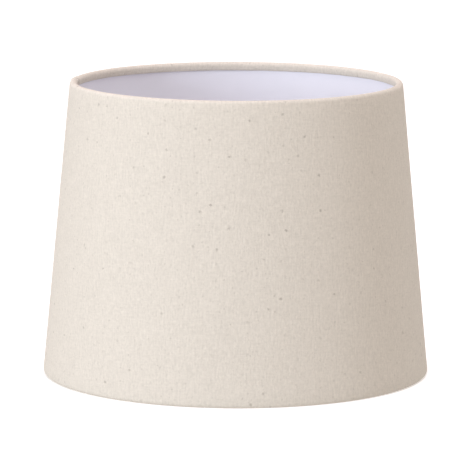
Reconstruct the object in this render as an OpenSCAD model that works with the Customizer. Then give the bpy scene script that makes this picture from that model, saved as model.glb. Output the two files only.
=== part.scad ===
// Tapered drum lamp shade for a table lamp. Cotton cloth is bonded to a stiff lining and rolled round
// two wire rings, and three wire arms carry a fitter with a loose reducer ring for the lampholder.
// Millimetres, +Z up. The origin is the centre of the bottom rim, on the surface the shade stands on.

/* [Shade] */
// Outer diameter across the bottom rim
bottom_d = 250; // [235:1:270]
// Outer diameter across the top rim
top_d = 215; // [180:1:230]
// Height over both rims
shade_h = 190; // [150:1:230]

/* [Cloth and lining] */
// Thickness of the cotton cloth
cloth_t = 0.5; // [0.4:0.1:0.6]
// Thickness of the stiff lining
lining_t = 0.4; // [0.3:0.1:0.5]
// Height of the rolled hem inside each rim
hem_h = 5.6; // [5.4:0.1:7]
// Width of the cover's lap at the seam
lap_w = 12; // [11:1:16]
// Width of the double-sided tape under the lap
tape_w = 9; // [6:1:9]
// Thickness of the double-sided tape
tape_t = 0.2; // [0.1:0.1:0.3]
// Direction of the seam, counted from +X
seam_angle = 170; // [120:5:170]

/* [Wire frame] */
// Wire diameter of the two rings
ring_wire_d = 3; // [2.8:0.1:3.2]
// Wire diameter of the fitter arms
arm_wire_d = 2.8; // [2.2:0.1:2.8]
// Rise of the arms between their two bends, in a run of 24
arm_rise_in_24 = 7; // [5:1:9]
// Bend radius of the arms, at the wire's centre
arm_bend_r = 8; // [5:1:12]

/* [Fitter] */
// Bore of the steel fitter ring
fitter_bore_d = 42; // [41:0.5:44]
// Outer diameter of the steel fitter ring
fitter_d = 54; // [52:1:58]
// Thickness of the steel fitter ring
fitter_t = 1.5; // [1.2:0.1:2]
// Bore of the reducer ring, which takes the lampholder
holder_bore_d = 29; // [28:0.5:30]
// Thickness of the reducer ring's web, where the lampholder is clamped
web_t = 2; // [1.6:0.1:2.4]

/* [Hidden] */

skin_t = cloth_t + lining_t;

// The ring lies against a tucked edge of cloth, a little nearer the crest than the roll's centre.
crest_bias = 0.25;
ring_r = ring_wire_d / 2;
ring_depth = skin_t + cloth_t + ring_r;
roll_w = ring_depth + ring_r + cloth_t;
roll_r = roll_w / 2;
taper = atan((bottom_d - top_d) / 2 / (shade_h - roll_w));
ring_inset = roll_r - crest_bias;
lining_inset = 1.6;
tuck_depth = 4;
tuck_drop = 1.2;

// Arms: flat at both ends, with one slope between. The wire's inner end is pressed flat for its weld.
arm_r = arm_wire_d / 2;
arm_z = ring_inset;
arm_slope = atan(arm_rise_in_24 / 24);
arm_flat = 10;
arm_end_r = fitter_bore_d / 2 + 1;
arm_flattening = 0.35;
arm_angles = [90, 210, 330];
notch_gap = 0.3;

fitter_edge = 0.3;
arm_inner_bend_r = fitter_d / 2 + 3;

// Reducer: flange on top of the steel ring, skirt through its bore, web at the foot of the skirt.
seat_gap = 0.05;
flange_d = 47;
flange_t = 1.4;
skirt_gap = 0.3;
skirt_t = 1.7;
skirt_drop = 3.5;
tongue_count = 3;
tongue_angle = 26;
slot_w = 1;
slot_overrun = 0.5;
barb_gap = 0.15;
barb_h = 1.2;
barb_drop = 0.2;
barb_root = 0.5;
barb_margin = 3;

SMOOTH = 180;
FINE = 48;

// Radius at height z of a line that lies a given depth behind the wall's outer face. The outer face
// is tangent to the roll at both rims.
function wall_r(z, depth) =
    bottom_d / 2 - roll_r - (z - roll_r) * tan(taper) + (roll_r - depth) / cos(taper);
// Points of an arc in the section plane, from angle a0 to a1
function arc(centre, r, a0, a1, steps) =
    [for (i = [0:steps]) let (a = a0 + (a1 - a0) * i / steps) centre + r * [cos(a), sin(a)]];

bottom_ring_r = wall_r(ring_inset, ring_depth);
top_ring_r = wall_r(shade_h - ring_inset, ring_depth);

arm_outer_bend_r = round(bottom_ring_r) - arm_flat;
arm_run = arm_outer_bend_r - arm_inner_bend_r - 2 * arm_bend_r * sin(arm_slope);
arm_slant = arm_run / cos(arm_slope);
arm_rise = 2 * arm_bend_r * (1 - cos(arm_slope)) + arm_slant * sin(arm_slope);
arm_top_z = arm_z + arm_rise;
fitter_z = arm_top_z + arm_r - arm_flattening;
skirt_r = fitter_bore_d / 2 - skirt_gap;
flange_z = fitter_z + fitter_t + seat_gap;
web_z = fitter_z - skirt_drop;

// Section of the cloth: up the wall, over each rim, round the ring and tucked against the lining
module cover_section() {
    roll_arc = 12;
    low = roll_r;
    high = shade_h - roll_r;
    polygon(concat(
        arc([wall_r(low, roll_r), low], roll_r, 180, 360 + taper, roll_arc),
        arc([wall_r(high, roll_r), high], roll_r, taper, 180, roll_arc),
        [
            [wall_r(shade_h - hem_h + tuck_drop, tuck_depth), shade_h - hem_h + tuck_drop],
            [wall_r(shade_h - hem_h, skin_t), shade_h - hem_h],
            [wall_r(shade_h - lining_inset, skin_t), shade_h - lining_inset],
            [wall_r(shade_h - lining_inset, cloth_t), shade_h - lining_inset],
            [wall_r(lining_inset, cloth_t), lining_inset],
            [wall_r(lining_inset, skin_t), lining_inset],
            [wall_r(hem_h, skin_t), hem_h],
            [wall_r(hem_h - tuck_drop, tuck_depth), hem_h - tuck_drop]
        ]));
}

// Cone band between two depths behind the outer face; a negative depth stands proud of it
module wall_band(z0, z1, depth0, depth1) {
    rotate_extrude($fn = SMOOTH)
        polygon([[wall_r(z0, depth0), z0], [wall_r(z1, depth0), z1],
                 [wall_r(z1, depth1), z1], [wall_r(z0, depth1), z0]]);
}

// Upright slab that crosses the wall at the seam, from y0 to y1 across the lap
module seam_slab(y0, y1) {
    rotate([0, 0, seam_angle])
        translate([0, y0, 0]) cube([bottom_d, y1 - y0, shade_h]);
}

module wire_ring(r, z) {
    rotate_extrude($fn = SMOOTH) translate([r, z]) circle(d = ring_wire_d, $fn = FINE);
}

// Free edge of the cover, over the tape, with a strip beside the tape that joins it to the cover
module seam_lap() {
    low = roll_r;
    high = shade_h - roll_r;
    intersection() {
        wall_band(low, high, -cloth_t - tape_t, -tape_t);
        seam_slab(-lap_w / 2, lap_w / 2);
    }
    intersection() {
        wall_band(low, high, -cloth_t - tape_t, cloth_t / 2);
        seam_slab(-lap_w / 2, lap_w / 2 - tape_w);
    }
}

module tape_strip() {
    intersection() {
        wall_band(roll_r, shade_h - roll_r, -tape_t, 0);
        seam_slab(lap_w / 2 - tape_w, lap_w / 2);
    }
}

// Snip in the bottom hem that lets one arm through
module hem_notch(angle) {
    depth = 6;
    width = arm_wire_d + 2 * notch_gap;
    rotate([0, 0, angle])
        translate([bottom_ring_r - notch_gap - depth, -width / 2, arm_z - arm_r - notch_gap])
            cube([depth, width, hem_h]);
}

module fabric_cover() {
    color("antiquewhite") union() {
        difference() {
            rotate_extrude($fn = SMOOTH) cover_section();
            wire_ring(bottom_ring_r, ring_inset);
            wire_ring(top_ring_r, shade_h - ring_inset);
            for (angle = arm_angles) hem_notch(angle);
        }
        seam_lap();
    }
}

// One sheet bent round, with its two edges just apart at the seam
module lining_panel() {
    butt_gap = 0.4;
    color("lavender") difference() {
        wall_band(lining_inset, shade_h - lining_inset, cloth_t, skin_t);
        seam_slab(-butt_gap / 2, butt_gap / 2);
    }
}

module seam_tape() {
    color("gainsboro") tape_strip();
}

module top_ring() {
    color("white") wire_ring(top_ring_r, shade_h - ring_inset);
}

module bottom_ring() {
    color("white") wire_ring(bottom_ring_r, ring_inset);
}

// Bend in the XZ plane about a centre, turning through the arm's slope: side -1 turns up from the
// level wire below the centre, and side 1 turns back to the level wire above it
module wire_bend(x, z, side) {
    translate([x, 0, z]) rotate([90, 0, 0]) intersection() {
        rotate_extrude($fn = SMOOTH) translate([arm_bend_r, 0]) circle(r = arm_r, $fn = FINE);
        translate([0, 0, -arm_wire_d]) linear_extrude(2 * arm_wire_d)
            polygon([[0, 0], [0, side * 24], [side * arm_rise_in_24, side * 24]]);
    }
}

module arm_wire() {
    translate([arm_outer_bend_r, 0, arm_z]) rotate([0, 90, 0])
        cylinder(h = bottom_ring_r - arm_outer_bend_r, r = arm_r, $fn = FINE);
    wire_bend(arm_outer_bend_r, arm_z + arm_bend_r, -1);
    translate([arm_outer_bend_r - arm_bend_r * sin(arm_slope), 0,
               arm_z + arm_bend_r * (1 - cos(arm_slope))])
        rotate([0, arm_slope - 90, 0]) cylinder(h = arm_slant, r = arm_r, $fn = FINE);
    wire_bend(arm_inner_bend_r, arm_top_z - arm_bend_r, 1);
    translate([arm_end_r, 0, arm_top_z]) rotate([0, 90, 0])
        cylinder(h = arm_inner_bend_r - arm_end_r, r = arm_r, $fn = FINE);
}

// Wire arm, cut to fit the ring's side at its outer end and flat under the fitter at its inner end
module fitter_arm(angle) {
    color("white") rotate([0, 0, angle]) difference() {
        arm_wire();
        wire_ring(bottom_ring_r, ring_inset);
        translate([0, 0, fitter_z]) cylinder(h = fitter_t, d = fitter_d, $fn = SMOOTH);
    }
}

module fitter_arm_1() {
    fitter_arm(arm_angles[0]);
}

module fitter_arm_2() {
    fitter_arm(arm_angles[1]);
}

module fitter_arm_3() {
    fitter_arm(arm_angles[2]);
}

module fitter_ring() {
    inner = fitter_bore_d / 2;
    outer = fitter_d / 2;
    top = fitter_z + fitter_t;
    color("white") rotate_extrude($fn = SMOOTH)
        polygon([[inner, fitter_z], [outer, fitter_z], [outer, top - fitter_edge],
                 [outer - fitter_edge, top], [inner + fitter_edge, top], [inner, top - fitter_edge]]);
}

// Slots on both sides of each snap tongue, through the skirt only
module tongue_slots() {
    for (i = [0:tongue_count - 1])
        for (side = [-1, 1])
            rotate([0, 0, i * 360 / tongue_count + side * tongue_angle / 2])
                translate([skirt_r - skirt_t - slot_overrun, -slot_w / 2, web_z - slot_overrun])
                    cube([skirt_t + 2 * slot_overrun, slot_w, flange_z - web_z + slot_overrun]);
}

// Small barb on each tongue, just under the steel ring
module tongue_barbs() {
    spread = tongue_angle - 2 * barb_margin;
    low = fitter_z - barb_drop - barb_h;
    tip = fitter_bore_d / 2 - barb_gap;
    for (i = [0:tongue_count - 1])
        rotate_extrude(angle = spread, start = i * 360 / tongue_count - spread / 2, $fn = SMOOTH)
            polygon([[skirt_r - barb_root, low], [skirt_r, low], [tip, low + barb_h / 2],
                     [tip, low + barb_h], [skirt_r - barb_root, low + barb_h]]);
}

module reducer_ring() {
    bore = holder_bore_d / 2;
    draft = 0.4;
    rim = flange_d / 2;
    color("whitesmoke") union() {
        difference() {
            rotate_extrude($fn = SMOOTH)
                polygon([[bore, web_z], [skirt_r, web_z], [skirt_r, flange_z], [rim, flange_z],
                         [rim - draft, flange_z + flange_t], [skirt_r - skirt_t, flange_z + flange_t],
                         [skirt_r - skirt_t, web_z + web_t], [bore, web_z + web_t]]);
            tongue_slots();
        }
        tongue_barbs();
    }
}

fabric_cover();
lining_panel();
seam_tape();
top_ring();
bottom_ring();
fitter_arm_1();
fitter_arm_2();
fitter_arm_3();
fitter_ring();
reducer_ring();
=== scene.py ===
"""Looks of the tapered drum lamp shade: canvas bonded to a stiff lining, rolled round two wire rings.

Metres, in the CAD frame: +Z up, -Y is the front, and the bottom rim stands on z = 0.
"""
import math

import bpy
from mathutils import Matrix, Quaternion, Vector, noise


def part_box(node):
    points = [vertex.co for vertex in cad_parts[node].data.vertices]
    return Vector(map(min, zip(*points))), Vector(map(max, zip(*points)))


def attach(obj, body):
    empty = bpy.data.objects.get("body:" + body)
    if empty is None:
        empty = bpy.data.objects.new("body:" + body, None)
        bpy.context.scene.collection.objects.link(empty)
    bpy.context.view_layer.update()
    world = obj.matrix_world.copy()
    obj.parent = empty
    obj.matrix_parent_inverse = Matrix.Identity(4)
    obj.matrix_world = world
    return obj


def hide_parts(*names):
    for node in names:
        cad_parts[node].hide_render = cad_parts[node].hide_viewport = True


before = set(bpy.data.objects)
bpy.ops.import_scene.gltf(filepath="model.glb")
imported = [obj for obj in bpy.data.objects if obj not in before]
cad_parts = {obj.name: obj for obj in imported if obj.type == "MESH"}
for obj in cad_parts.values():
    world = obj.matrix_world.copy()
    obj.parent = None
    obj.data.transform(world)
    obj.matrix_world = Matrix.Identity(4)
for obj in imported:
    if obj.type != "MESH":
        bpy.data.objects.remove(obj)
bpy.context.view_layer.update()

# ---------------------------------------------------------------- sizes the cloth and lining are made to

MM = 0.001
CLOTH = 0.5 * MM
LINING = 0.4 * MM
TAPE = 0.2 * MM
SEAM = math.radians(170)
FRONT = math.radians(270)
ARM_ANGLES = [math.radians(a) for a in (90, 210, 330)]
AROUND = 600  # columns of mesh in one turn

# The cover starts a little behind the seam and ends a little past it, over its own start.
LAP_BEHIND = 3 * MM
LAP_OVER = 6 * MM
LAP_RAMP = 5 * MM

# The hem goes from the crest down the inside of the ring, turns back on itself and is tucked behind it.
ROLL_STEPS = 9
HEM = 5.6 * MM
HEM_SQUARE = 5.0
HEM_PRESSED = 0.85  # of a cloth's thickness, from the lining to the hem's middle line at its lower edge
HEM_STOPS = (0.25, 0.5, 0.7, 0.84, 0.93, 0.98, 1.0)
TUCK_FOLD = 0.5 * MM
TUCK_SETTLES = 1.8 * MM
WALL_SPANS = 28

# Where an arm comes out, the bottom hem is drawn back under the ring.
NOTCH_HALF = 1.6 * MM
NOTCH_EDGE = 3.4 * MM
NOTCH_UNDER_RING = 0.4 * MM
NOTCH_PULL = 0.8

# Unevenness of the cloth: height, waves to a metre along it, waves to a turn, seed.
WALL_SLACK = ((0.07 * MM, 22, 9, 3.1), (0.03 * MM, 70, 30, 8.7))
HEM_PUCKER = ((0.16 * MM, 160, 95, 1.7), (0.05 * MM, 300, 170, 5.2))
SLACK_FADE = 6 * MM
PUCKER_AT_CREST = 0.25
PUCKER_IN_TUCK = 0.3
TUCK_FROM = 0.8  # share of the hem past which it is held by the tuck
EDGE_WANDER = 0.16 * MM
EDGE_WAVES = 60
EDGE_SEED = 2.3

LINING_LAP = 10 * MM
LINING_STEP = 4 * MM
LINING_INSET = 1.6 * MM
LINING_ROWS = 34
LINING_SLACK = ((0.05 * MM, 18, 8, 6.4),)
LINING_FADE = 20 * MM

# ---------------------------------------------------------------- the wall, found from the two CAD rings


def ring_facts(node):
    """Wire radius, centre-line radius and height of a CAD ring."""
    low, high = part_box(node)
    wire = (high.z - low.z) / 2
    return wire, (high.x - low.x) / 2 - wire, (high.z + low.z) / 2


WIRE, LOW_R, LOW_Z = ring_facts("bottom_ring")
_, HIGH_R, HIGH_Z = ring_facts("top_ring")
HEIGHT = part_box("fabric_cover")[1].z
TAN = (LOW_R - HIGH_R) / (HIGH_Z - LOW_Z)
TAPER = math.atan(TAN)
COS = math.cos(TAPER)
SIN = math.sin(TAPER)
RING_DEPTH = CLOTH + LINING + CLOTH + WIRE
ROLL = (RING_DEPTH + WIRE + CLOTH) / 2


def wall_r(z, depth=0.0):
    """Radius at height z of the surface that lies this deep under the cover's outside."""
    return LOW_R - (z - LOW_Z) * TAN + (RING_DEPTH - depth) / COS


# ---------------------------------------------------------------- small helpers


def smooth(low, high, x):
    """A soft step: 0 up to low, 1 from high on."""
    t = min(1.0, max(0.0, (x - low) / (high - low)))
    return t * t * (3 - 2 * t)


def ring_noise(angle, along, waves, seed):
    """Smooth noise that closes on itself round the shade, from about -1 to 1."""
    k = waves / (2 * math.pi)
    return noise.noise(Vector((math.cos(angle) * k + seed, math.sin(angle) * k, along)))


def ripple(layers, angle, along):
    """Sum of layers of ring noise, each given as height, waves to a metre, waves to a turn and seed."""
    total = 0.0
    for height, per_metre, per_turn, seed in layers:
        total += height * ring_noise(angle, along * per_metre, per_turn, seed)
    return total


def new_mesh(name, points, faces, flat=None):
    """A smooth-shaded piece. Its flat attribute, if any, is where each point lies in the uncut cloth."""
    mesh = bpy.data.meshes.new(name)
    mesh.from_pydata(points, [], faces)
    mesh.validate()
    for polygon in mesh.polygons:
        polygon.use_smooth = True
    if flat is not None:
        layer = mesh.attributes.new("flat", "FLOAT_VECTOR", "POINT")
        layer.data.foreach_set("vector", [c for p in flat for c in p])
    piece = bpy.data.objects.new(name, mesh)
    bpy.context.scene.collection.objects.link(piece)
    return piece


def close_strip(columns, rows):
    """Faces of a closed slab of columns x rows: its outer grid, its inner grid and the four edges."""
    half = columns * rows
    faces = []
    for i in range(columns - 1):
        for j in range(rows - 1):
            a = i * rows + j
            b = a + rows
            faces.append((a, b, b + 1, a + 1))
            faces.append((half + a, half + a + 1, half + b + 1, half + b))
    for i in range(columns - 1):
        a = i * rows
        b = a + rows
        faces.append((a, half + a, half + b, b))
        a += rows - 1
        b += rows - 1
        faces.append((a, b, half + b, half + a))
    for j in range(rows - 1):
        a = j
        faces.append((a, a + 1, half + a + 1, half + a))
        a += (columns - 1) * rows
        faces.append((a, half + a, half + a + 1, a + 1))
    return faces


# ---------------------------------------------------------------- cover: one strip, rolled round both rings


def roll_points():
    """The cloth's middle line at a rim: round the crest, down the inside and back up behind the ring.

    Each point is its depth under the outside, its rise from the roll's centre towards the wall, how far
    along the hem it is, and how far it is lifted where the cover laps over itself.
    """
    r = ROLL - CLOTH / 2
    points = []
    for i in range(ROLL_STEPS + 1):
        share = i / ROLL_STEPS
        a = math.pi * share
        points.append((ROLL - r * math.cos(a), -r * math.sin(a), 0.0, 1 - smooth(0, 0.5, share)))
    reach = HEM - ROLL - CLOTH / 2
    back = CLOTH + LINING + CLOTH * HEM_PRESSED
    for stop in HEM_STOPS:
        bulge = (1 - stop**HEM_SQUARE) ** (1 / HEM_SQUARE)
        points.append((back + (ROLL + r - back) * bulge, reach * stop, stop, 0.0))
    tuck = CLOTH + LINING + CLOTH / 2
    for rise in (reach - TUCK_FOLD, reach - TUCK_SETTLES, 0.0):
        points.append((tuck, rise, 1.0, 0.0))
    return points


def cover_path():
    """The cloth's middle line from the bottom tuck to the top tuck.

    Each row holds the place p and normal n in the plane of radius and height, the distance along the cloth,
    the part it is in, and the hem and lap shares that roll_points gives.
    """
    out = Vector((COS, SIN))
    up = Vector((-SIN, COS))
    low_c = Vector((wall_r(ROLL, ROLL), ROLL))
    high_c = Vector((wall_r(HEIGHT - ROLL, ROLL), HEIGHT - ROLL))
    rolls = roll_points()
    path = []
    for depth, rise, hem, held in reversed(rolls):
        path.append((low_c + out * (ROLL - depth) + up * rise, "low", hem, held))
    wall_low = path[-1][0]
    wall_high = high_c + out * (ROLL - rolls[0][0]) - up * rolls[0][1]
    for k in range(1, WALL_SPANS):
        path.append((wall_low.lerp(wall_high, k / WALL_SPANS), "wall", 0.0, 1.0))
    for depth, rise, hem, held in rolls:
        path.append((high_c + out * (ROLL - depth) - up * rise, "high", hem, held))
    rows = []
    along = 0.0
    for k, (p, part, hem, held) in enumerate(path):
        before = path[max(0, k - 1)][0]
        after = path[min(len(path) - 1, k + 1)][0]
        if k:
            along += (p - before).length
        run = (after - before).normalized()
        normal = Vector((run.y, -run.x))
        rows.append({"p": p, "n": normal, "along": along, "part": part, "hem": hem, "held": held})
    return rows


def arm_opening(row, angle):
    """How far the bottom hem gives way to an arm that comes out of it here, 0 to 1."""
    if row["part"] != "low" or row["hem"] < 0.1:
        return 0.0
    nearest = min(abs(math.remainder(angle - a, 2 * math.pi)) for a in ARM_ANGLES)
    return 1 - smooth(NOTCH_HALF, NOTCH_EDGE, nearest * LOW_R)


def lap_lift(row, turn):
    """How far the cover stands out where its end goes over its start, and draws in at the start's hems."""
    whole = 2 * math.pi
    over = smooth(whole - (LAP_BEHIND + LAP_RAMP) / LOW_R, whole - LAP_BEHIND / LOW_R, turn)
    under = 1 - smooth(LAP_OVER / LOW_R, (LAP_OVER + LAP_RAMP) / LOW_R, turn)
    return over * row["held"] * (CLOTH + TAPE) - under * (1 - row["held"]) * CLOTH


def cover_place(row, turn):
    """Radius and height of the cloth's middle line in this row, once lapped, slack, puckered and notched."""
    angle = SEAM + turn
    z = row["p"].y
    shift = lap_lift(row, turn)
    if row["part"] == "wall":
        shift += ripple(WALL_SLACK, angle, z) * smooth(ROLL, ROLL + SLACK_FADE, min(z, HEIGHT - z))
    else:
        loose = PUCKER_AT_CREST + (1 - PUCKER_AT_CREST) * row["hem"]
        if row["hem"] >= TUCK_FROM:
            loose = PUCKER_IN_TUCK
        shift += loose * ripple(HEM_PUCKER, angle, row["along"])
    wander = 0.0
    if row["hem"] > 0.5:
        sign, level = (1, 0.0) if row["part"] == "low" else (-1, 9.0)
        wander = sign * EDGE_WANDER * ring_noise(angle, level, EDGE_WAVES, EDGE_SEED)
    place = row["p"] + row["n"] * shift + Vector((0, wander))
    give = arm_opening(row, angle)
    if give:
        under_ring = Vector((wall_r(z, RING_DEPTH), LOW_Z - NOTCH_UNDER_RING))
        place = place.lerp(under_ring, give * row["hem"] * NOTCH_PULL)
    return place


def make_cover():
    """The cover, with the size and area of the flat piece it is cut as: an arc of a ring."""
    rows = cover_path()
    start = -LAP_BEHIND / LOW_R
    stop = 2 * math.pi + LAP_OVER / LOW_R
    columns = AROUND + round(AROUND * (stop - start - 2 * math.pi) / (2 * math.pi)) + 1
    base = next(row["along"] for row in rows if row["part"] == "wall")
    slant = wall_r(ROLL) / SIN
    outer, inner, flat = [], [], []
    for i in range(columns):
        turn = start + (stop - start) * i / (columns - 1)
        angle = SEAM + turn
        for row in rows:
            place = cover_place(row, turn)
            for side, store in ((0.5, outer), (-0.5, inner)):
                q = place + row["n"] * (CLOTH * side)
                store.append((q.x * math.cos(angle), q.x * math.sin(angle), q.y))
            rho = slant - (row["along"] - base)
            phi = (angle - FRONT) * SIN
            flat.append((rho * math.sin(phi), rho * math.cos(phi) - slant, 0.0))
    cover = new_mesh("cover_cloth", outer + inner, close_strip(columns, len(rows)), flat + flat)
    sweep = (stop - start) * SIN
    r_in = slant - (rows[-1]["along"] - base)
    r_out = slant + base
    area = sweep / 2 * (r_out**2 - r_in**2)
    width = 2 * r_out * math.sin(sweep / 2)
    length = r_out - r_in * math.cos(sweep / 2)
    return cover, (width, length), area


# ---------------------------------------------------------------- lining: one panel, lapped on itself


def make_lining():
    """The stiff panel, a little short of both rims. Its end steps inwards over its start."""
    low, high = LINING_INSET, HEIGHT - LINING_INSET
    turns = 2 * math.pi + LINING_LAP / LOW_R
    columns = AROUND + 10
    outer, inner = [], []
    for i in range(columns):
        turn = turns * i / (columns - 1)
        angle = SEAM + turn - LINING_LAP / 2 / LOW_R
        inside = smooth(2 * math.pi - LINING_STEP / LOW_R, 2 * math.pi, turn)
        for j in range(LINING_ROWS):
            z = low + (high - low) * j / (LINING_ROWS - 1)
            slack = ripple(LINING_SLACK, angle, z) * smooth(0, LINING_FADE, min(z - low, high - z))
            depth = CLOTH + inside * LINING + slack
            for extra, store in ((0.0, outer), (LINING, inner)):
                r = wall_r(z, depth + extra)
                store.append((r * math.cos(angle), r * math.sin(angle), z))
    return new_mesh("lining_sheet", outer + inner, close_strip(columns, LINING_ROWS))


# ---------------------------------------------------------------- welds where the arms meet their rings

WELD_RINGS = 9
WELD_AROUND = 14
WELD_UNEVEN = 0.16
RING_WELD = (1.7 * MM, 1.7 * MM, 1.5 * MM)
FITTER_WELD = (2.3 * MM, 2.3 * MM, 1.0 * MM)
RING_WELD_IN = 0.9  # of the wire's radius, inwards from its centre line
FITTER_WELD_IN = 1.2 * MM
FITTER_WELD_DOWN = 0.4 * MM


def weld_bead(name, centre, size, seed):
    """A small squashed bead of metal with an uneven skin."""
    points, faces = [], []
    for i in range(WELD_RINGS + 1):
        polar = math.pi * i / WELD_RINGS
        for j in range(WELD_AROUND):
            turn = 2 * math.pi * j / WELD_AROUND
            d = Vector((math.sin(polar) * math.cos(turn), math.sin(polar) * math.sin(turn), math.cos(polar)))
            swell = 1 + WELD_UNEVEN * noise.noise(d * 1.7 + Vector((seed, 0, 0)))
            points.append(tuple(centre[k] + d[k] * size[k] * swell for k in range(3)))
    for i in range(WELD_RINGS):
        for j in range(WELD_AROUND):
            a = i * WELD_AROUND + j
            b = i * WELD_AROUND + (j + 1) % WELD_AROUND
            faces.append((a, a + WELD_AROUND, b + WELD_AROUND, b))
    return new_mesh(name, points, faces)


# ---------------------------------------------------------------- node helpers


class Nodes:
    """Shorthand for building one material's node tree."""

    def __init__(self, name):
        self.material = bpy.data.materials.new(name)
        self.material.use_nodes = True
        self.tree = self.material.node_tree
        self.shader = self.tree.nodes["Principled BSDF"]

    def add(self, kind, **settings):
        node = self.tree.nodes.new(kind)
        for key, value in settings.items():
            setattr(node, key, value)
        return node

    def put(self, value, socket):
        """Link a socket to another one, or set it to a plain value."""
        if isinstance(value, bpy.types.NodeSocket):
            self.tree.links.new(value, socket)
        else:
            socket.default_value = value

    def math(self, operation, a, b=0.0, c=0.0):
        node = self.add("ShaderNodeMath", operation=operation)
        for value, socket in zip((a, b, c), node.inputs):
            self.put(value, socket)
        return node.outputs[0]

    def swing(self, value, middle, amount):
        """How far a value is from its middle, times an amount."""
        return self.math("MULTIPLY", self.math("SUBTRACT", value, middle), amount)

    def xyz(self, x, y, z=0.0):
        node = self.add("ShaderNodeCombineXYZ")
        for value, socket in zip((x, y, z), node.inputs):
            self.put(value, socket)
        return node.outputs[0]

    def split(self, vector):
        """The three parts of a vector or colour."""
        node = self.add("ShaderNodeSeparateXYZ")
        self.put(vector, node.inputs[0])
        return node.outputs

    def noise(self, vector, scale, detail=2.0, rough=0.5):
        node = self.add("ShaderNodeTexNoise")
        self.put(vector, node.inputs["Vector"])
        node.inputs["Scale"].default_value = scale
        node.inputs["Detail"].default_value = detail
        node.inputs["Roughness"].default_value = rough
        return node.outputs["Fac"]

    def ramp(self, value, low, high, out_low=0.0, out_high=1.0):
        node = self.add("ShaderNodeMapRange", interpolation_type="SMOOTHSTEP")
        for item, socket in zip((value, low, high, out_low, out_high), node.inputs):
            self.put(item, socket)
        return node.outputs[0]

    def mix(self, share, a, b, blend="MIX"):
        node = self.add("ShaderNodeMix", data_type="RGBA", blend_type=blend)
        self.put(share, node.inputs["Factor"])
        self.put(a, node.inputs[6])
        self.put(b, node.inputs[7])
        return node.outputs[2]

    def shaded(self, colour, brightness):
        """A colour times a brightness."""
        return self.mix(1.0, colour, self.xyz(brightness, brightness, brightness), "MULTIPLY")

    def bump(self, height, strength, distance):
        node = self.add("ShaderNodeBump")
        node.inputs["Strength"].default_value = strength
        node.inputs["Distance"].default_value = distance
        self.put(height, node.inputs["Height"])
        self.put(node.outputs[0], self.shader.inputs["Normal"])


def rgb(r, g, b):
    """Linear colour from sRGB levels, 0 to 255."""
    return (*[((c / 255 + 0.055) / 1.055) ** 2.4 for c in (r, g, b)], 1.0)


# ---------------------------------------------------------------- canvas, in millimetres of the flat cloth

CANVAS = (213, 205, 194)
HUSK = (128, 119, 108)
THREAD = 0.62
THREAD_STEP = 7.31  # how far apart in the noise two neighbouring threads are
THREAD_STRETCH = 0.11  # how slowly a thread changes along its run
CROSSING = 0.45  # how much a thread's height follows the one it crosses
DRIFT = 1.6  # how far the threads wander from straight

# Share of the brightness, and of the relief, that each pattern gives.
LUMP_TONE, LUMP_RELIEF = 0.24, 1.0
SLUB_TONE, SLUB_RELIEF = 0.26, 0.5
STREAK_TONE, STREAK_RELIEF = 0.17, 0.6
WEAVE_TONE, WEAVE_RELIEF = 0.10, 0.5
CLOUD_TONE = 0.03
WEAVE_MIDDLE = 0.6
RELIEF = 0.36 * MM

# Two sets of husk flecks: clear ones, and small faint ones.
CLEAR_FLECKS = {"per_mm": 0.09, "share": 0.5, "smallest": 0.085, "spread": 0.055, "faint": 0.10, "strong": 0.42}
FAINT_FLECKS = {"per_mm": 0.2, "share": 0.5, "smallest": 0.12, "spread": 0.08, "faint": 0.06, "strong": 0.2}


def threads(n, across, run, seed):
    """Rounded profile, slub and number of the parallel thread that lies here."""
    place = n.math("DIVIDE", across, THREAD)
    number = n.math("FLOOR", place)
    profile = n.math("ABSOLUTE", n.math("SINE", n.math("MULTIPLY", place, math.pi)))
    drawn_out = n.xyz(n.math("MULTIPLY", number, THREAD_STEP), n.math("MULTIPLY", run, THREAD_STRETCH), seed)
    return profile, n.noise(drawn_out, 1.0), number


def plain_weave(n, u, v):
    """Height of the weave, where the warp and the weft take turns on top, and the slub of both."""
    warp, warp_slub, warp_number = threads(n, u, v, 2.0)
    weft, weft_slub, weft_number = threads(n, v, u, 9.0)
    parity = n.math("FLOORED_MODULO", n.math("ADD", warp_number, weft_number), 2.0)
    warp_top = n.math("MULTIPLY", warp, n.math("ADD", 1 - CROSSING, n.math("MULTIPLY", weft, CROSSING)))
    weft_top = n.math("MULTIPLY", weft, n.math("ADD", 1 - CROSSING, n.math("MULTIPLY", warp, CROSSING)))
    warp_part = n.math("MULTIPLY", warp_top, parity)
    weft_part = n.math("MULTIPLY", weft_top, n.math("SUBTRACT", 1.0, parity))
    weave = n.math("ADD", warp_part, weft_part)
    slub = n.math("ADD", n.math("MULTIPLY", warp_slub, 0.55), n.math("MULTIPLY", weft_slub, 0.45))
    return weave, slub


def flecks(n, mm, lumps, per_mm, share, smallest, spread, faint, strong):
    """Specks of husk, at most one to a cell: how much of the cloth's colour each one hides."""
    cell = n.add("ShaderNodeTexVoronoi", voronoi_dimensions="2D", feature="F1")
    n.put(mm, cell.inputs["Vector"])
    cell.inputs["Scale"].default_value = per_mm
    pick = n.split(cell.outputs["Color"])
    chosen = n.math("GREATER_THAN", pick[0], 1 - share)
    size = n.math("ADD", smallest, n.math("MULTIPLY", pick[1], spread))
    edge = n.math("ADD", cell.outputs["Distance"], n.swing(lumps, 0.5, 0.22))
    spot = n.ramp(edge, n.math("MULTIPLY", size, 0.05), size, 1.0, 0.0)
    depth = n.math("ADD", faint, n.math("MULTIPLY", n.math("POWER", pick[2], 3.0), strong))
    return n.math("MULTIPLY", n.math("MULTIPLY", spot, chosen), depth)


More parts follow.
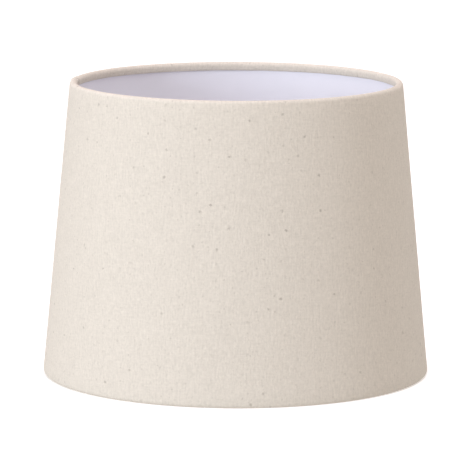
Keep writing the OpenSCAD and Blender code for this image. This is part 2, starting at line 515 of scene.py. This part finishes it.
def canvas_material():
    """Plain-woven natural cotton: uneven threads, slubs and small husk flecks."""
    n = Nodes("natural_canvas")
    flat = n.add("ShaderNodeAttribute", attribute_name="flat").outputs["Vector"]
    scale = n.add("ShaderNodeVectorMath", operation="SCALE")
    n.put(flat, scale.inputs[0])
    scale.inputs["Scale"].default_value = 1 / MM
    mm = scale.outputs[0]
    parts = n.split(mm)
    u = n.math("ADD", parts[0], n.swing(n.noise(mm, 0.03), 0.5, DRIFT))
    v = n.math("ADD", parts[1], n.swing(n.noise(mm, 0.041), 0.5, DRIFT))

    weave, slub = plain_weave(n, u, v)
    lumps = n.noise(mm, 0.62, 2.0, 0.6)
    streaks = n.noise(n.xyz(n.math("MULTIPLY", u, 0.85), n.math("MULTIPLY", v, 0.22)), 1.0, 1.0)
    cloud = n.noise(mm, 0.06)
    clear = flecks(n, mm, lumps, **CLEAR_FLECKS)
    faint = flecks(n, mm, lumps, **FAINT_FLECKS)

    tone = 1.0
    for pattern, middle, amount in (
        (lumps, 0.5, LUMP_TONE),
        (slub, 0.5, SLUB_TONE),
        (streaks, 0.5, STREAK_TONE),
        (cloud, 0.5, CLOUD_TONE),
        (weave, WEAVE_MIDDLE, WEAVE_TONE),
    ):
        tone = n.math("ADD", tone, n.swing(pattern, middle, amount))
    colour = n.shaded(rgb(*CANVAS), tone)
    colour = n.mix(n.math("MAXIMUM", clear, faint), colour, rgb(*HUSK))
    n.put(colour, n.shader.inputs["Base Color"])

    height = 0.0
    for pattern, amount in (
        (weave, WEAVE_RELIEF),
        (slub, SLUB_RELIEF),
        (lumps, LUMP_RELIEF),
        (streaks, STREAK_RELIEF),
    ):
        height = n.math("ADD", height, n.math("MULTIPLY", pattern, amount))
    n.bump(height, 0.9, RELIEF)
    n.put(n.math("ADD", 0.84, n.math("MULTIPLY", lumps, 0.12)), n.shader.inputs["Roughness"])
    n.shader.inputs["Specular IOR Level"].default_value = 0.25
    n.shader.inputs["Sheen Weight"].default_value = 0.06
    n.shader.inputs["Sheen Roughness"].default_value = 0.6
    return n.material


# ---------------------------------------------------------------- the plainer materials


def plain_material(name, colour, rough, grain, relief, variation, grains_per_m=1500.0):
    """A moulded, painted or extruded surface with fine grain and a slow change of tone."""
    n = Nodes(name)
    place = n.add("ShaderNodeTexCoord").outputs["Object"]
    fine = n.noise(place, grains_per_m, 3.0, 0.6)
    slow = n.noise(place, 45.0)
    tone = n.math("ADD", 1.0, n.swing(slow, 0.5, variation))
    tone = n.math("ADD", tone, n.swing(fine, 0.5, grain))
    n.put(n.shaded(rgb(*colour), tone), n.shader.inputs["Base Color"])
    n.put(n.math("ADD", rough - 0.06, n.math("MULTIPLY", fine, 0.12)), n.shader.inputs["Roughness"])
    n.bump(fine, 0.3, relief)
    return n.material


canvas = canvas_material()
lining_film = plain_material(
    "lining_film", (233, 232, 240), rough=0.42, grain=0.02, relief=0.02 * MM, variation=0.03, grains_per_m=900.0
)
powder_coat = plain_material(
    "powder_coat", (236, 235, 231), rough=0.5, grain=0.04, relief=0.05 * MM, variation=0.05, grains_per_m=1800.0
)
reducer_nylon = plain_material(
    "reducer_nylon", (240, 239, 235), rough=0.45, grain=0.03, relief=0.02 * MM, variation=0.03
)
tape_film = plain_material(
    "tape_film", (214, 208, 196), rough=0.6, grain=0.04, relief=0.02 * MM, variation=0.06
)

# ---------------------------------------------------------------- build


def paint(piece, material):
    piece.data.materials.clear()
    piece.data.materials.append(material)


cover, cut, cut_area = make_cover()
paint(cover, canvas)
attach(cover, "shade")
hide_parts("fabric_cover")
lining = make_lining()
paint(lining, lining_film)
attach(lining, "shade")
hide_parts("lining_panel")

fitter_low, fitter_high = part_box("fitter_ring")
fitter_r = (fitter_high.x - fitter_low.x) / 2
for number, angle in enumerate(ARM_ANGLES, start=1):
    out = Vector((math.cos(angle), math.sin(angle), 0))
    at_ring = out * (LOW_R - WIRE * RING_WELD_IN) + Vector((0, 0, LOW_Z))
    low_bead = weld_bead(f"weld_ring_{number}", at_ring, RING_WELD, number)
    at_fitter = out * (fitter_r - FITTER_WELD_IN) + Vector((0, 0, fitter_low.z - FITTER_WELD_DOWN))
    high_bead = weld_bead(f"weld_fitter_{number}", at_fitter, FITTER_WELD, number + 7)
    for bead in (low_bead, high_bead):
        paint(bead, powder_coat)
        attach(bead, "shade")

for node in ("top_ring", "bottom_ring", "fitter_arm_1", "fitter_arm_2", "fitter_arm_3", "fitter_ring"):
    paint(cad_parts[node], powder_coat)
paint(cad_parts["reducer_ring"], reducer_nylon)
paint(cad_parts["seam_tape"], tape_film)

# ---------------------------------------------------------------- floor, light and camera

FLOOR_SIZE = 6.0
FLOOR_CELLS = 24
FLOOR_GLOW = 0.16
PATCH_SIDES = 96
PATCH_LIFT = 0.1 * MM

KEY = {"azimuth": -44, "elevation": 8, "distance": 3.2, "size": 0.9}
KEY_WATTS = 63.6
KEY_TINT = (0.807, 0.898, 1.0)
OVERHEAD = {"azimuth": 0, "elevation": 88, "distance": 3.0, "size": 1.6}
OVERHEAD_WATTS = 48.7
OVERHEAD_TINT = (1.0, 0.883, 0.959)
SKY = 0.857
SKY_TINT = (1.0, 0.949, 0.909)

CAMERA_ELEVATION = math.radians(9.152)
CAMERA_ROLL = math.radians(0.2)
CAMERA_TARGET = Vector((-0.00056, 0, 0.0891))
CAMERA_DISTANCE = 2.477
CAMERA_LENS = 292.4


def floor_material():
    """Pale matt floor with a faint change of tone and a little light of its own."""
    n = Nodes("studio_floor")
    place = n.add("ShaderNodeTexCoord").outputs["Object"]
    tone = n.math("ADD", 0.985, n.math("MULTIPLY", n.noise(place, 30.0), 0.03))
    n.put(n.shaded(rgb(250, 250, 250), tone), n.shader.inputs["Base Color"])
    n.shader.inputs["Roughness"].default_value = 0.9
    n.shader.inputs["Emission Color"].default_value = (1.0, 1.0, 1.0, 1.0)
    n.shader.inputs["Emission Strength"].default_value = FLOOR_GLOW
    return n.material


def open_floor(material):
    """The studio floor. It is hidden from diffuse rays, so it doesn't light the cloth."""
    stops = [FLOOR_SIZE * (i / FLOOR_CELLS - 0.5) for i in range(FLOOR_CELLS + 1)]
    points = [(x, y, 0.0) for x in stops for y in stops]
    faces = []
    for i in range(FLOOR_CELLS):
        for j in range(FLOOR_CELLS):
            a = i * (FLOOR_CELLS + 1) + j
            b = a + FLOOR_CELLS + 1
            faces.append((a, b, b + 1, a + 1))
    floor = new_mesh("floor", points, faces)
    paint(floor, material)
    floor.visible_diffuse = False


def closed_floor(material):
    """The patch of floor inside the shade, which does block the light that would come in from below."""
    radius = LOW_R - WIRE
    turns = [2 * math.pi * k / PATCH_SIDES for k in range(PATCH_SIDES)]
    points = [(radius * math.cos(t), radius * math.sin(t), PATCH_LIFT) for t in turns]
    patch = new_mesh("floor_inside", points, [tuple(range(PATCH_SIDES))])
    paint(patch, material)


def area_light(name, power, colour, azimuth, elevation, distance, size):
    """A square softbox aimed at the shade's middle. Azimuth 0 is the front, and minus is to the left."""
    a, e = math.radians(azimuth), math.radians(elevation)
    back = Vector((math.sin(a) * math.cos(e), -math.cos(a) * math.cos(e), math.sin(e)))
    data = bpy.data.lights.new(name, "AREA")
    data.shape = "SQUARE"
    data.size = size
    data.energy = power
    data.color = colour
    lamp = bpy.data.objects.new(name, data)
    lamp.location = Vector((0, 0, HEIGHT / 2)) + back * distance
    lamp.rotation_euler = back.to_track_quat("Z", "Y").to_euler()
    bpy.context.scene.collection.objects.link(lamp)


def world_light(colour, strength):
    """Even light from all round."""
    world = bpy.data.worlds.new("studio")
    world.use_nodes = True
    sky = world.node_tree.nodes["Background"]
    sky.inputs["Color"].default_value = (*colour, 1.0)
    sky.inputs["Strength"].default_value = strength
    bpy.context.scene.world = world


def camera():
    """A long lens from the front, a little above the shade."""
    back = Vector((0, -math.cos(CAMERA_ELEVATION), math.sin(CAMERA_ELEVATION)))
    data = bpy.data.cameras.new("camera")
    data.sensor_width = 36
    data.lens = CAMERA_LENS
    data.clip_end = 50
    eye = bpy.data.objects.new("camera", data)
    eye.location = CAMERA_TARGET + back * CAMERA_DISTANCE
    roll = Quaternion((0, 0, 1), CAMERA_ROLL)
    eye.rotation_euler = (back.to_track_quat("Z", "Y") @ roll).to_euler()
    bpy.context.scene.collection.objects.link(eye)
    bpy.context.scene.camera = eye


floor = floor_material()
open_floor(floor)
closed_floor(floor)
area_light("key", KEY_WATTS, KEY_TINT, **KEY)
area_light("overhead", OVERHEAD_WATTS, OVERHEAD_TINT, **OVERHEAD)
world_light(SKY_TINT, SKY)
camera()
bpy.context.scene.view_settings.view_transform = "Standard"
